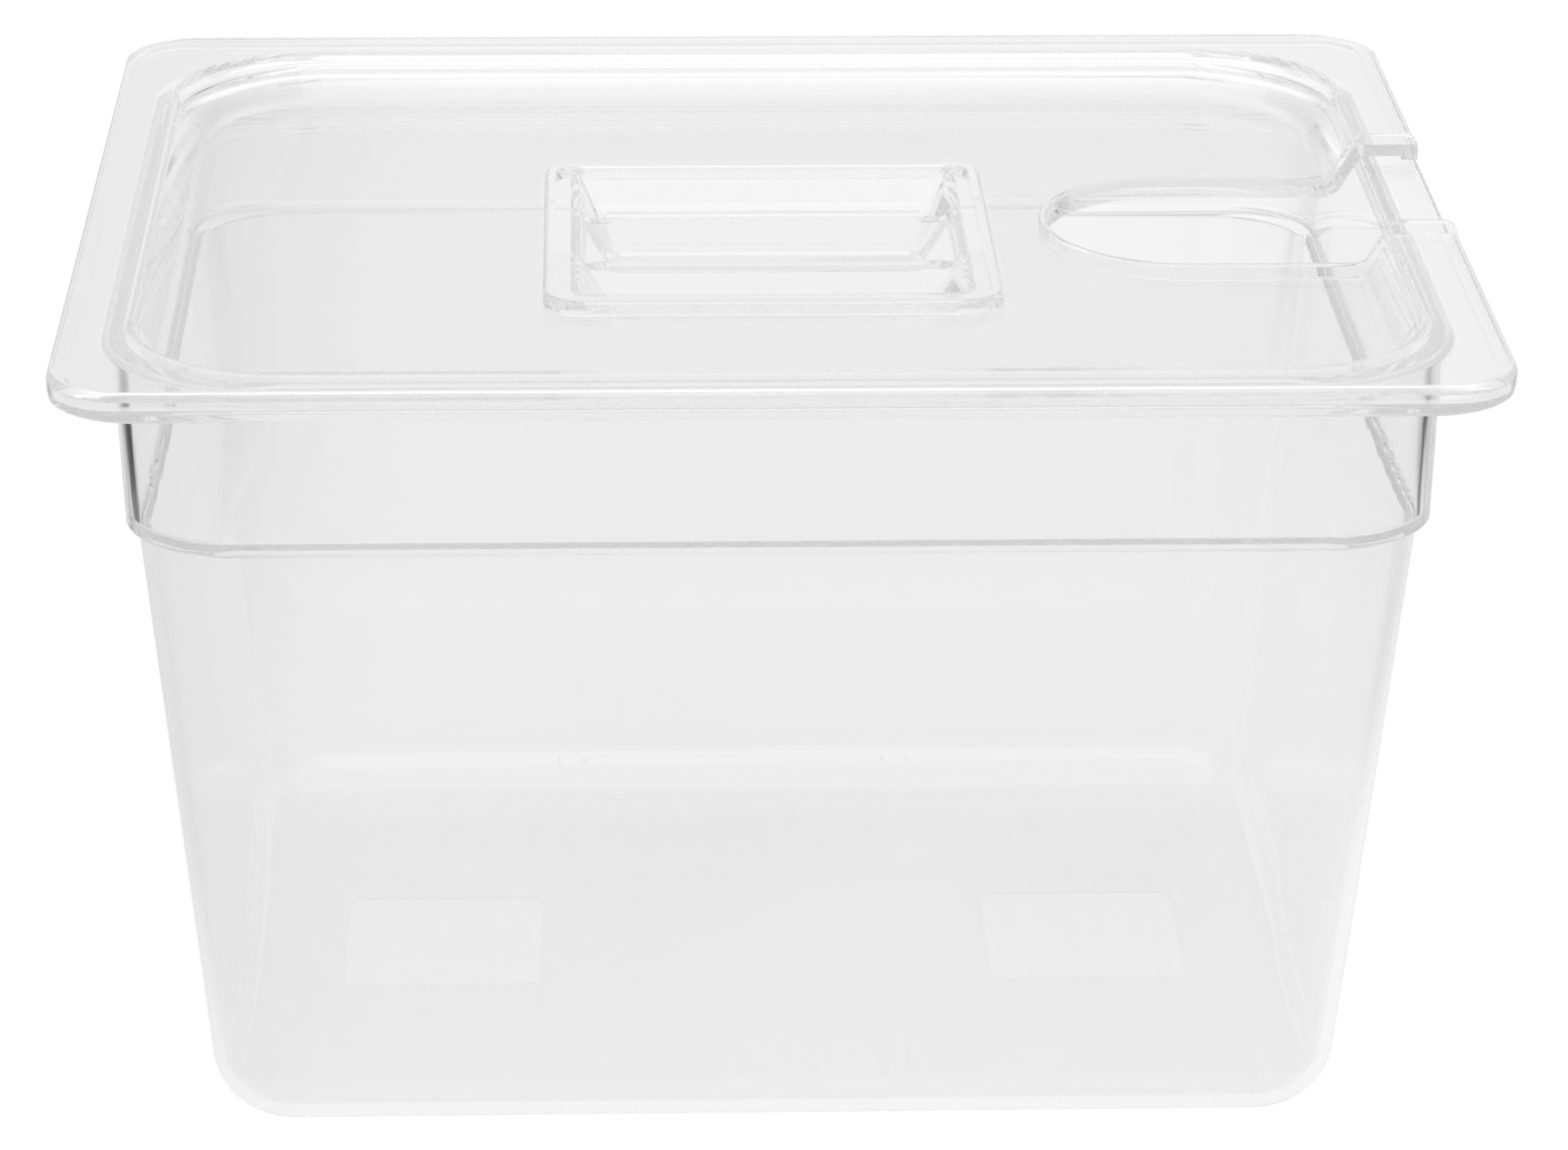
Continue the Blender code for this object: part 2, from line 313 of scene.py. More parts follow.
class Sum:
    """A socket of a node tree in a Python expression. Each operator adds its Math node."""

    def __init__(self, tree, socket):
        self.tree = tree
        self.socket = socket

    def maths(self, operation, *values):
        settings = {"operation": operation}
        node = add_node(self.tree, "ShaderNodeMath", settings, dict(enumerate(values)))
        return Sum(self.tree, node.outputs[0])

    def __add__(self, other):
        return self.maths("ADD", self, other)

    __radd__ = __add__

    def __sub__(self, other):
        return self.maths("SUBTRACT", self, other)

    def __rsub__(self, other):
        return self.maths("SUBTRACT", other, self)

    def __mul__(self, other):
        return self.maths("MULTIPLY", self, other)

    __rmul__ = __mul__

    def __truediv__(self, other):
        return self.maths("DIVIDE", self, other)

    def __mod__(self, other):
        return self.maths("FLOORED_MODULO", self, other)

    def __floordiv__(self, other):
        return (self / other).maths("FLOOR", self / other)


def add_node(tree, kind, settings=None, values=None):
    """Adds a node with its settings, and then its sockets' values or links, by name or place."""
    node = tree.nodes.new(kind)
    for name, value in (settings or {}).items():
        setattr(node, name, value)
    for key, value in (values or {}).items():
        socket = node.inputs[key]
        if isinstance(value, Sum):
            value = value.socket
        if isinstance(value, bpy.types.NodeSocket):
            tree.links.new(value, socket)
        else:
            socket.default_value = value
    return node


def new_tree(name, inputs):
    """Geometry Nodes tree with named inputs, each given as a socket type."""
    tree = bpy.data.node_groups.new(name, "GeometryNodeTree")
    tree.interface.new_socket("Geometry", in_out="OUTPUT", socket_type="NodeSocketGeometry")
    for label, kind in inputs:
        tree.interface.new_socket(label, in_out="INPUT", socket_type=kind)
    entry = tree.nodes.new("NodeGroupInput")
    return tree, {label: Sum(tree, entry.outputs[label]) for label, _ in inputs}


def end_tree(tree, mesh, material):
    """Last nodes of a tree: smooth, real geometry with its material."""
    smooth = add_node(tree, "GeometryNodeSetShadeSmooth", values={"Geometry": mesh})
    real = add_node(tree, "GeometryNodeRealizeInstances", values={"Geometry": smooth.outputs[0]})
    done = add_node(
        tree, "GeometryNodeSetMaterial",
        values={"Geometry": real.outputs[0], "Material": material},
    )
    add_node(tree, "NodeGroupOutput", values={"Geometry": done.outputs[0]})


def counted(tree, geometry):
    size = add_node(tree, "GeometryNodeAttributeDomainSize", values={0: geometry})
    return Sum(tree, size.outputs["Point Count"])


def sheet_of(tree, across, along):
    """Grid of across by along points, with each point's place in it."""
    sides = {"Vertices X": across, "Vertices Y": along}
    grid = add_node(tree, "GeometryNodeMeshGrid", values=sides)
    index = Sum(tree, add_node(tree, "GeometryNodeInputIndex").outputs[0])
    return grid.outputs["Mesh"], index // along, index % along


def sampled(tree, geometry, value, index, data_type="FLOAT_VECTOR"):
    node = add_node(
        tree, "GeometryNodeSampleIndex", {"data_type": data_type},
        {"Geometry": geometry, "Value": value, "Index": index},
    )
    return node.outputs[0]


def attribute(tree, name):
    settings = {"data_type": "FLOAT"}
    return add_node(tree, "GeometryNodeInputNamedAttribute", settings, {"Name": name}).outputs[0]


def rounded_point(column, steps, half_x, half_y, radius):
    """Point of a rounded rectangle: its four corners take steps + 1 points each."""
    place = column % (4 * (steps + 1))
    quarter = place // (steps + 1)
    angle = (quarter + place % (steps + 1) / steps) * (math.pi / 2)
    diagonal = (quarter + 0.5) * (math.pi / 2)
    cosine, sine = angle.maths("COSINE", angle), angle.maths("SINE", angle)
    side_x = diagonal.maths("SIGN", diagonal.maths("COSINE", diagonal))
    side_y = diagonal.maths("SIGN", diagonal.maths("SINE", diagonal))
    return side_x * (half_x - radius) + radius * cosine, side_y * (half_y - radius) + radius * sine


def place_points(tree, mesh, x, y, z):
    """Moves the points of a sheet and welds its seam and its poles."""
    point = add_node(tree, "ShaderNodeCombineXYZ", values={"X": x, "Y": y, "Z": z})
    moved = add_node(
        tree, "GeometryNodeSetPosition", values={"Geometry": mesh, "Position": point.outputs[0]}
    )
    welded = add_node(
        tree, "GeometryNodeMergeByDistance",
        values={"Geometry": moved.outputs[0], "Distance": WELD},
    )
    return welded.outputs[0]


def moulding_tree():
    """Sweeps a section round a rounded rectangle.

    A point of the section is its inset, how far in its plan corner's centre lies, and its height.
    """
    tree, given = new_tree("Moulding round a rectangle", (
        ("Section", "NodeSocketGeometry"),
        ("Length", "NodeSocketFloat"),
        ("Width", "NodeSocketFloat"),
        ("Corner Steps", "NodeSocketInt"),
        ("Plastic", "NodeSocketMaterial"),
    ))
    steps = given["Corner Steps"]
    mesh, column, row = sheet_of(tree, 4 * (steps + 1) + 1, counted(tree, given["Section"]))
    position = add_node(tree, "GeometryNodeInputPosition").outputs[0]
    corner = add_node(
        tree, "ShaderNodeSeparateXYZ", values={0: sampled(tree, given["Section"], position, row)}
    )
    inset, core, height = (Sum(tree, socket) for socket in corner.outputs)
    half_x, half_y = given["Length"] / 2, given["Width"] / 2
    core_x, core_y = (core.maths("MINIMUM", core, half) for half in (half_x, half_y))
    radius = core - inset
    x, y = rounded_point(column, steps, half_x - core_x + radius, half_y - core_y + radius, radius)
    end_tree(tree, place_points(tree, mesh, x, y, height), given["Plastic"])
    return tree


def rib_tree():
    """Sweeps an upright section with rounded corners along a path round the notch.

    A point of the path lies at the rib's top. Its attributes are the height of the rib's foot
    and the section's size there.
    """
    tree, given = new_tree("Rib round the notch", (
        ("Path", "NodeSocketGeometry"),
        ("Centre X", "NodeSocketFloat"),
        ("Centre Y", "NodeSocketFloat"),
        ("Thickness", "NodeSocketFloat"),
        ("Round", "NodeSocketFloat"),
        ("Round Steps", "NodeSocketInt"),
        ("Plastic", "NodeSocketMaterial"),
    ))
    steps = given["Round Steps"]
    mesh, column, row = sheet_of(tree, 4 * (steps + 1) + 1, counted(tree, given["Path"]))
    position = add_node(tree, "GeometryNodeInputPosition").outputs[0]
    point = add_node(
        tree, "ShaderNodeSeparateXYZ", values={0: sampled(tree, given["Path"], position, row)}
    )
    path_x, path_y, top = (Sum(tree, socket) for socket in point.outputs)
    foot, size = (
        Sum(tree, sampled(tree, given["Path"], attribute(tree, name), row, "FLOAT"))
        for name in ("foot", "size")
    )
    along, aside = path_x - given["Centre X"], path_y - given["Centre Y"]
    away = add_node(
        tree, "ShaderNodeCombineXYZ", values={"X": along.maths("MINIMUM", along, 0.0), "Y": aside}
    )
    unit = add_node(
        tree, "ShaderNodeVectorMath", {"operation": "NORMALIZE"}, {0: away.outputs[0]}
    )
    normal = add_node(tree, "ShaderNodeSeparateXYZ", values={0: unit.outputs[0]})
    out_x, out_y = (Sum(tree, normal.outputs[i]) for i in range(2))
    half_thick, half_tall = given["Thickness"] / 2 * size, (top - foot) / 2 * size
    across, up = rounded_point(column, steps, half_thick, half_tall, given["Round"] * size)
    x, y = path_x + out_x * across, path_y + out_y * across
    end_tree(tree, place_points(tree, mesh, x, y, (top + foot) / 2 + up), given["Plastic"])
    return tree


def link(name, mesh):
    obj = bpy.data.objects.new(name, mesh)
    bpy.context.scene.collection.objects.link(obj)
    return obj


def points_mesh(name, points, attributes=None):
    """Mesh of loose points, which a tree reads one by one."""
    mesh = bpy.data.meshes.new(name)
    mesh.from_pydata(points, [], [])
    for label, values in (attributes or {}).items():
        mesh.attributes.new(label, "FLOAT", "POINT").data.foreach_set("value", values)
    return mesh


def settle(obj):
    """Takes the result of an object's modifiers as its mesh, and removes them."""
    bpy.context.view_layer.update()
    graph = bpy.context.evaluated_depsgraph_get()
    mesh = bpy.data.meshes.new_from_object(
        obj.evaluated_get(graph), preserve_all_data_layers=True, depsgraph=graph
    )
    obj.modifiers.clear()
    obj.data = mesh


def plain(obj):
    """Turns an object with modifiers into a plain mesh whose faces point outwards."""
    settle(obj)
    outward(obj.data)
    return obj


def outward(mesh):
    """Turns every face of a closed mesh outwards."""
    bm = bmesh.new()
    bm.from_mesh(mesh)
    bmesh.ops.recalc_face_normals(bm, faces=bm.faces)
    if bm.calc_volume(signed=True) < 0:
        bmesh.ops.reverse_faces(bm, faces=bm.faces)
    bm.to_mesh(mesh)
    bm.free()


def grown_by(tree, obj, values):
    """Runs a tree on an object with its inputs set, and keeps the result as a plain mesh."""
    modifier = obj.modifiers.new(tree.name, "NODES")
    modifier.node_group = tree
    for item in tree.interface.items_tree:
        if item.in_out == "INPUT" and item.name in values:
            modifier[item.identifier] = values[item.name]
    return plain(obj)


def moulding(name, length, width, line, material, lift=0.0):
    """Closed body of a section line swept round a rounded rectangle."""
    points = [(corner.inset, corner.core, corner.z + lift) for corner in closed(filleted(line))]
    return grown_by(shared_tree(moulding_tree), link(name, points_mesh(name, points)), {
        "Length": length, "Width": width, "Corner Steps": CORNER_STEPS, "Plastic": material,
    })


def shared_tree(make):
    """The tree that a function makes, made once."""
    made = bpy.data.node_groups.get(make.__name__)
    if made is None:
        made = make()
        made.name = make.__name__
    return made


def quarter_turn():
    """Angles of the steps of a quarter of a circle, its two ends among them."""
    return [step / ROUND_STEPS * math.pi / 2 for step in range(ROUND_STEPS + 1)]


def ring(bounds, radius, z):
    """Rounded rectangle at a height, anticlockwise as seen from above."""
    centres = (
        (bounds.right - radius, bounds.back - radius),
        (bounds.left + radius, bounds.back - radius),
        (bounds.left + radius, bounds.front + radius),
        (bounds.right - radius, bounds.front + radius),
    )
    points = []
    for quarter, (x, y) in enumerate(centres):
        for step in range(ROUND_STEPS + 1):
            angle = (quarter + step / ROUND_STEPS) * math.pi / 2
            points.append((x + radius * math.cos(angle), y + radius * math.sin(angle), z))
    return points


def loft(name, rings, material):
    """Closed body through rings of equal count, the first and the last capped flat."""
    bm = bmesh.new()
    loops = [[bm.verts.new(point) for point in points] for points in rings]
    for lower, upper in zip(loops, loops[1:]):
        for i in range(len(lower)):
            bm.faces.new((lower[i - 1], lower[i], upper[i], upper[i - 1]))
    bm.faces.new(reversed(loops[0]))
    bm.faces.new(loops[-1])
    mesh = bpy.data.meshes.new(name)
    bm.to_mesh(mesh)
    bm.free()
    mesh.materials.append(material)
    return link(name, mesh)


def combine(body, operation, tool):
    """Joins a tool to a body or cuts it out of the body, and removes the tool."""
    modifier = body.modifiers.new(tool.name, "BOOLEAN")
    modifier.operation = operation
    modifier.solver = "EXACT"
    modifier.object = tool
    plain(body)
    bpy.data.objects.remove(tool)


def finish(body, name, node, body_name):
    """Cleans a piece, shades it and puts it in place of its solid."""
    bm = bmesh.new()
    bm.from_mesh(body.data)
    bmesh.ops.remove_doubles(bm, verts=bm.verts, dist=WELD / 2)
    bmesh.ops.dissolve_degenerate(bm, dist=WELD / 2, edges=bm.edges)
    loose = sum(1 for edge in bm.edges if len(edge.link_faces) != 2)
    if loose:
        raise RuntimeError(f"{name} has {loose} edges that don't join two faces")
    bm.to_mesh(body.data)
    bm.free()
    body.data.shade_smooth()
    body.data.set_sharp_from_angle(angle=SMOOTH_ANGLE)
    weighted = body.modifiers.new("even_flats", "WEIGHTED_NORMAL")
    weighted.keep_sharp = True
    weighted.weight = FLAT_WEIGHT
    settle(body)
    body.data.name = body.name = name
    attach(body, body_name)
    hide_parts(node)


def wall_line(pan):
    """Outer line of the pan's wall, from the flat of the base up to the flange's underside."""
    neck_z = pan.height - FLANGE_THICK
    shoulder_inset = FLANGE_REACH + BAND_TAPER
    shoulder_z = neck_z - BAND_HEIGHT
    foot_inset = shoulder_inset + SHOULDER_STEP
    base_inset = foot_inset + BODY_TAPER
    base = Corner(base_inset, 0.0, base_inset + BASE_CORNER, pan.base_fillet)
    foot_z = shoulder_z - SHOULDER_DROP
    foot = Corner(foot_inset, foot_z, foot_inset + FOOT_CORNER, FOOT_FILLET)
    shoulder_core = shoulder_inset + SHOULDER_CORNER
    shoulder = Corner(shoulder_inset, shoulder_z, shoulder_core, SHOULDER_FILLET)
    neck = Corner(FLANGE_REACH, neck_z, FLANGE_REACH + BAND_CORNER, NECK_FILLET)
    return [flat_end(base), base, foot, shoulder, neck]


def inner_line(pan):
    """Inner line of the pan's wall, from the mouth down to the flat of the floor."""
    inner = offset(wall_line(pan), pan.wall)
    inner[2] = inner[2]._replace(fillet=INNER_FOOT_FILLET)
    inner[3] = inner[3]._replace(fillet=INNER_SHOULDER_FILLET)
    mouth = at_height(inner[-2], inner[-1], pan.height)._replace(fillet=MOUTH_FILLET)
    return [mouth] + inner[-2::-1]


def lid_lines(pan, lid):
    """Underside, edge and top of the lid's section, from the panel outwards.

    Height 0 is the foot of the lip.
    """
    mouth = inner_line(pan)[0]
    step_top_inset = mouth.inset + PLUG_GAP - (SEAT_GAP + LIP_DEPTH) * STEP_RUN / lid.step_drop
    panel_inset, panel_z = step_top_inset + STEP_RUN, LIP_DEPTH - lid.step_drop
    panel = Corner(panel_inset, panel_z, mouth.core, STEP_FOOT_FILLET)
    step_top = Corner(step_top_inset, LIP_DEPTH, mouth.core, STEP_TOP_FILLET)
    under = [flat_end(panel), panel, step_top, Corner(LIP_WIDTH, LIP_DEPTH, LID_CORNER)]
    top = offset(under, lid.sheet)
    edge = [Corner(LIP_WIDTH, 0.0, LID_CORNER), Corner(0.0, 0.0, LID_CORNER)]
    crest = Corner(0.0, LIP_DEPTH + lid.sheet, LID_CORNER, LID_EDGE_FILLET)
    return under, edge, crest, top


def panel_top(lid):
    return LIP_DEPTH - lid.step_drop + lid.sheet


def well_bounds(lid, side, z, grow):
    """Extent of a finger well at a height, with each of its walls moved out by grow."""
    drop = panel_top(lid) + lid.handle_rise - z
    depth = lid.handle_rise + lid.well_depth
    opening = lid.handle_width / 2 - RIM_SIDE_WIDTH
    floor = lid.bar_width / 2 + BAR_DRAFT + WELL_FLOOR_WIDTH
    end_slope = WELL_END_RUN / depth
    bar_slope = BAR_DRAFT / lid.well_depth
    side_slope = (opening - floor) / depth
    half_x = lid.handle_length / 2 - RIM_END_WIDTH - end_slope * drop
    half_x += grow * math.hypot(1, end_slope)
    near = lid.bar_width / 2 + bar_slope * (drop - lid.handle_rise)
    near -= grow * math.hypot(1, bar_slope)
    far = opening - side_slope * drop + grow * math.hypot(1, side_slope)
    return Bounds(-half_x, half_x, *sorted((side * near, side * far)))


def bar_bounds(lid, z, grow):
    """Extent of the sunk space over the bar, which runs on into both wells."""
    reach = lid.bar_width / 2 + lid.sheet
    return well_bounds(lid, 1, z, grow)._replace(front=-reach, back=reach)


def well_body(name, bounds_at, levels, lift, material):
    """Tapered body of a well through levels of height and growth, with a rounded floor edge."""
    rings = [
        [(x, y, z + lift) for x, y, z in ring(bounds_at(z, grow), WELL_CORNER + grow, z)]
        for z, grow in levels
    ]
    body = loft(name, rings, material)
    bevel = body.modifiers.new("floor_edge", "BEVEL")
    bevel.width = WELL_FILLET + levels[0][1]
    bevel.segments = ROUND_STEPS
    bevel.angle_limit = BEVEL_ANGLE
    return plain(body)


def add_handle(body, lid, lift, material):
    """Raised rim, hollow from below, around two finger wells and the bar between them."""
    rim_z = panel_top(lid) + lid.handle_rise
    root_z = panel_top(lid) - lid.sheet / 2
    outer = [
        Corner(0.0, root_z, HANDLE_CORNER),
        Corner(0.0, rim_z, HANDLE_CORNER, HANDLE_FILLET),
        Corner(HANDLE_CORNER - FLAT_CORNER, rim_z, HANDLE_CORNER),
    ]
    hollow = [
        Corner(lid.sheet, panel_top(lid) - lid.sheet - CUT_MARGIN, HANDLE_CORNER),
        Corner(lid.sheet, rim_z - lid.sheet, HANDLE_CORNER),
    ]
    size = lid.handle_length, lid.handle_width
    combine(body, "UNION", moulding("handle_rim", *size, outer, material, lift))
    combine(body, "DIFFERENCE", moulding("handle_hollow", *size, hollow, material, lift))
    floor_z = panel_top(lid) - lid.well_depth
    pockets = (
        ("front_well", lambda z, grow: well_bounds(lid, -1, z, grow), floor_z),
        ("back_well", lambda z, grow: well_bounds(lid, 1, z, grow), floor_z),
        ("bar_space", lambda z, grow: bar_bounds(lid, z, grow), panel_top(lid)),
    )
    for name, bounds_at, bottom_z in pockets:
        levels = [(bottom_z - lid.sheet, lid.sheet), (rim_z - lid.sheet / 2, lid.sheet)]
        shell = well_body(name + "_shell", bounds_at, levels, lift, material)
        combine(body, "UNION", shell)
    for name, bounds_at, bottom_z in pockets:
        levels = [(bottom_z, 0.0)]
        for angle in quarter_turn():
            z = rim_z - RIM_INNER_ROUND * (1 - math.sin(angle))
            levels.append((z, RIM_INNER_ROUND * (1 - math.cos(angle))))
        levels.append((rim_z + CUT_MARGIN, RIM_INNER_ROUND))
        combine(body, "DIFFERENCE", well_body(name, bounds_at, levels, lift, material))


def height_at(points, inset):
    """Height at an inset of a section line that runs outwards and is flat at its start."""
    if inset >= points[0].inset:
        return points[0].z
    for first, second in zip(points, points[1:]):
        if second.inset <= inset <= first.inset and first.inset > second.inset:
            share = (first.inset - inset) / (first.inset - second.inset)
            return mixed(first, second, share).z
    return points[-1].z


def rib_stations(pan, lid):
    """Insets of the rib's straight part from the lid's edge inwards, each with its top and foot."""
    under, _, crest, top = lid_lines(pan, lid)
    top_line = filleted([*top[:-1], crest._replace(fillet=0.0)])
    foot_line = filleted(under)
    centre_inset = lid.notch_reach - lid.notch_width / 2
    insets = {
        corner.inset for corner in top_line + foot_line if WELD < corner.inset < centre_inset
    }
    rounds = [RIB_END_FILLET * (1 - math.cos(angle)) for angle in quarter_turn()]
    insets |= {LIP_WIDTH - RIB_PROUD, LIP_WIDTH + RIB_PROUD, centre_inset, *rounds}
    stations = []
    for inset in sorted(insets):
        rise = height_at(top_line, inset) + lid.rib_rise
        short = max(RIB_END_FILLET - inset, 0.0)
        rise -= RIB_END_FILLET - math.sqrt(max(RIB_END_FILLET ** 2 - short ** 2, 0.0))
        foot = height_at(foot_line, inset) if inset > LIP_WIDTH else 0.0
        stations.append((inset + RIB_PROUD, rise, foot - RIB_PROUD))
    return stations


def rib(pan, lid, lift, material):
    """Upright rib that follows the notch's outline and the lid's own step."""
    radius = (lid.notch_width + lid.rib_thick) / 2
    edge_x = pan.length / 2
    centre_x = edge_x - lid.notch_reach + lid.notch_width / 2
    stations = rib_stations(pan, lid)
    path = [(edge_x - inset, NOTCH_Y - radius, top, foot) for inset, top, foot in stations]
    top, foot = stations[-1][1:]
    for step in range(1, NOTCH_STEPS):
        angle = math.pi * (1.5 - step / NOTCH_STEPS)
        x, y = centre_x + radius * math.cos(angle), NOTCH_Y + radius * math.sin(angle)
        path.append((x, y, top, foot))
    path += [
        (edge_x - inset, NOTCH_Y + radius, top, foot) for inset, top, foot in reversed(stations)
    ]
    path = [path[0], *path, path[-1]]
    sizes = [0.0] + [1.0] * (len(path) - 2) + [0.0]
    mesh = points_mesh(
        "notch_rib", [(x, y, top + lift) for x, y, top, _ in path],
        {"foot": [foot + lift for *_, foot in path], "size": sizes},
    )
    return grown_by(shared_tree(rib_tree), link("notch_rib", mesh), {
        "Centre X": centre_x, "Centre Y": NOTCH_Y, "Thickness": lid.rib_thick,
        "Round": RIB_ROUND, "Round Steps": ROUND_STEPS, "Plastic": material,
    })


def notch_cutter(pan, lid, lift, material):
    """U-shaped prism that ends halfway through the rib."""
    radius = (lid.notch_width + lid.rib_thick) / 2
    centre_x = pan.length / 2 - lid.notch_reach + lid.notch_width / 2
    open_x = pan.length / 2 + CUT_MARGIN
    outline = [(open_x, NOTCH_Y - radius), (open_x, NOTCH_Y + radius)]
    for step in range(NOTCH_STEPS + 1):
        angle = math.pi * (0.5 + step / NOTCH_STEPS)
        outline.append((centre_x + radius * math.cos(angle), NOTCH_Y + radius * math.sin(angle)))
    low = panel_top(lid) - lid.sheet - CUT_MARGIN
    high = LIP_DEPTH + lid.sheet + lid.rib_rise + CUT_MARGIN
    return loft("notch", [[(x, y, z + lift) for x, y in outline] for z in (low, high)], material)


def object_point(tree):
    return add_node(tree, "ShaderNodeTexCoord").outputs["Object"]


def noise(tree, vector, scale, detail=2.0):
    node = add_node(
        tree, "ShaderNodeTexNoise", values={"Vector": vector, "Scale": scale, "Detail": detail}
    )
    return Sum(tree, node.outputs["Fac"])


def stepped(value, low, high):
    """0 below low, 1 above high and smooth between."""
    node = add_node(
        value.tree, "ShaderNodeMapRange", {"interpolation_type": "SMOOTHSTEP"},
        {"Value": value, "From Min": low, "From Max": high},
    )
    return Sum(value.tree, node.outputs["Result"])


def within(value, reach, soft=ZONE_SOFT):
    """1 where a value is nearer to 0 than reach, with a soft edge."""
    return 1 - stepped(value.maths("ABSOLUTE", value), reach - soft, reach + soft)


def lid_painted_light(x, y, z):
    """1 where light is painted into the lid's tint: on its flange and on its handle."""
    lid = look("lid_sizes")
    flange = stepped(z, *LID_PAINTED_LIGHT_FROM)
    handle = within(x, lid.handle_length / 2) * within(y, lid.handle_width / 2)
    front = stepped(-1 * y, lid.bar_width / 2 - ZONE_SOFT, lid.bar_width / 2 + ZONE_SOFT)
    return flange.maths("MAXIMUM", flange, handle * (1 - front * (1 - FRONT_WELL_PAINTED_LIGHT)))


def pan_painted_light(x, y, z):
    """1 where light is painted into the pan's tint: on its flange."""
    return stepped(z, *PAN_PAINTED_LIGHT_FROM)


def pad_area(x, y, z, pan):
    """1 on the two pads in the underside of the base."""
    across = x.maths("ABSOLUTE", x)
    return (
        within(across - PAD_SPACING / 2, pan.pad_length / 2 - PAD_EDGE, PAD_EDGE)
        * within(y, pan.pad_width / 2 - PAD_EDGE, PAD_EDGE)
        * (1 - stepped(z, *PAD_TOP))
    )


def wiping_marks(tree, point):
    """1 on fine slanted streaks."""
    stretched = add_node(
        tree, "ShaderNodeMapping",
        values={"Vector": point, "Rotation": MARK_TURN, "Scale": MARK_STRETCH},
    )
    return stepped(noise(tree, stretched.outputs[0], 1.0, MARK_DETAIL), *MARK_RANGE)


def tinted(tree, point, tint, clear):
    """Colour of the plastic: its tint, a little cloudy, and painted lighter where clear is 1, as
    painted light.
    """
    darker, lighter = ((*(tint * (1 + change)), 1.0) for change in (-CLOUD_SPREAD, CLOUD_SPREAD))
    clouds = add_node(
        tree, "ShaderNodeMix", {"data_type": "RGBA"},
        {0: noise(tree, point, CLOUD_SCALE), 6: darker, 7: lighter},
    )
    colour = add_node(
        tree, "ShaderNodeMix", {"data_type": "RGBA"},
        {0: clear, 6: clouds.outputs[2], 7: (PAINTED_LIGHT_TINT, PAINTED_LIGHT_TINT, PAINTED_LIGHT_TINT, 1.0)},
    )
    return colour.outputs[2]


def fill_with_haze_and_glow(tree, density, haze_glow):
    """Makes the plastic take in light and glow faintly, a painted glow in place of light scattered
    inside it, so rays trapped inside it end pale.
    """
    taken = add_node(
        tree, "ShaderNodeVolumeAbsorption",
        values={"Color": (0.0, 0.0, 0.0, 1.0), "Density": density},
    )
    # Painted glow: the plastic's volume gives light of its own
    given = add_node(
        tree, "ShaderNodeEmission",
        values={"Color": (1.0, 1.0, 1.0, 1.0), "Strength": density * haze_glow},
    )
    both = add_node(tree, "ShaderNodeAddShader", values={0: taken.outputs[0], 1: given.outputs[0]})
    tree.links.new(both.outputs[0], tree.nodes["Material Output"].inputs["Volume"])


def clear_plastic(name, painted_light_at, pads=None):
    """Polished clear polycarbonate with faint ripples and wiping marks, matt on any pads, and with
    painted light: its tint painted lighter in some zones and on any pads.
    """
    plastic = look("plastic_look")
    material = bpy.data.materials.new(name)
    material.use_nodes = True
    tree = material.node_tree
    shader = tree.nodes["Principled BSDF"]
    point = object_point(tree)
    place = add_node(tree, "ShaderNodeSeparateXYZ", values={0: point})
    x, y, z = (Sum(tree, socket) for socket in place.outputs)
    # Painted light: clear is 1 where the tint is painted lighter in place of light
    clear = painted_light_at(x, y, z)
    roughness = wiping_marks(tree, point) * MARK_ROUGHNESS + plastic.roughness
    if pads is not None:
        matt = pad_area(x, y, z, pads)
        roughness = roughness + matt * PAD_ROUGHNESS
        # Painted light: the pads' tint is painted lighter too
        clear = clear.maths("MAXIMUM", clear, matt)
    ripple = add_node(tree, "ShaderNodeBump", values={
        "Strength": RIPPLE_STRENGTH, "Distance": RIPPLE_DEPTH,
        "Height": noise(tree, point, RIPPLE_SCALE),
    })
    colour = tinted(tree, point, Vector(plastic.tint), clear)
    tree.links.new(colour, shader.inputs["Base Color"])
    tree.links.new(roughness.socket, shader.inputs["Roughness"])
    tree.links.new(ripple.outputs[0], shader.inputs["Normal"])
    shader.inputs["IOR"].default_value = plastic.ior
    shader.inputs["Transmission Weight"].default_value = 1.0
    fill_with_haze_and_glow(tree, plastic.density, plastic.haze_glow)
    return material


class CONTAINER_OT_pan(bpy.types.Operator):
    """Make the food pan: flange, upper band, shoulder, tapered body and base in one moulding"""

    bl_idname = "container.pan"
    bl_label = "Food pan"

    def execute(self, context):
        pan = look("pan_sizes")
        material = clear_plastic("pan_polycarbonate", pan_painted_light, pads=pan)
        flange = [
            Corner(0.0, pan.height - FLANGE_THICK, FLANGE_CORNER, FLANGE_UNDER_FILLET),
            Corner(0.0, pan.height, FLANGE_CORNER, FLANGE_TOP_FILLET),
        ]
        section = wall_line(pan) + flange + inner_line(pan)
        body = moulding("pan", pan.length, pan.width, section, material)
        half_x, half_y = pan.pad_length / 2, pan.pad_width / 2
        for side in (-1, 1):
            middle = side * PAD_SPACING / 2
            bounds = Bounds(middle - half_x, middle + half_x, -half_y, half_y)
            rings = [ring(bounds, PAD_CORNER, z) for z in (-CUT_MARGIN, pan.pad_depth)]
            combine(body, "DIFFERENCE", loft("pad", rings, material))
        finish(body, "clear_pan", "pan", "pan")
        return {"FINISHED"}


